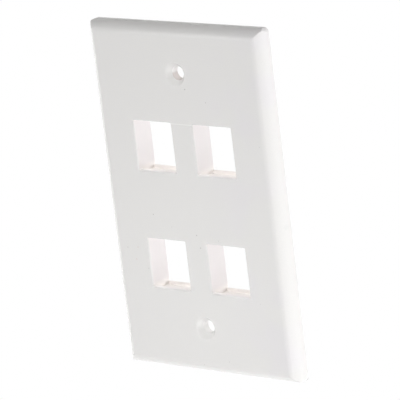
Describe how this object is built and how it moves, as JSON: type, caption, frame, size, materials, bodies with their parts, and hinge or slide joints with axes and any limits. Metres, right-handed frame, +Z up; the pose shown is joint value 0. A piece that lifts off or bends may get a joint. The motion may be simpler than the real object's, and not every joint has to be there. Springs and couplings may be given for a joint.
{
  "type": "keystone faceplate",
  "caption": "Moulded wall plate with snap-in keystone jack openings, a bevelled border and countersunk screw holes.",
  "frame": {"origin": "centre of the back rim's plane, where the plate meets the wall", "axes": "+Y into the wall, +Z up, +X to the right as seen from the room"},
  "size_m": [0.0698, 0.0084, 0.1142],
  "materials": {
    "plate": "semi-gloss white moulded thermoplastic"
  },
  "bodies": {
    "root": {"faceplate": "plate"}
  },
  "joints": []
}
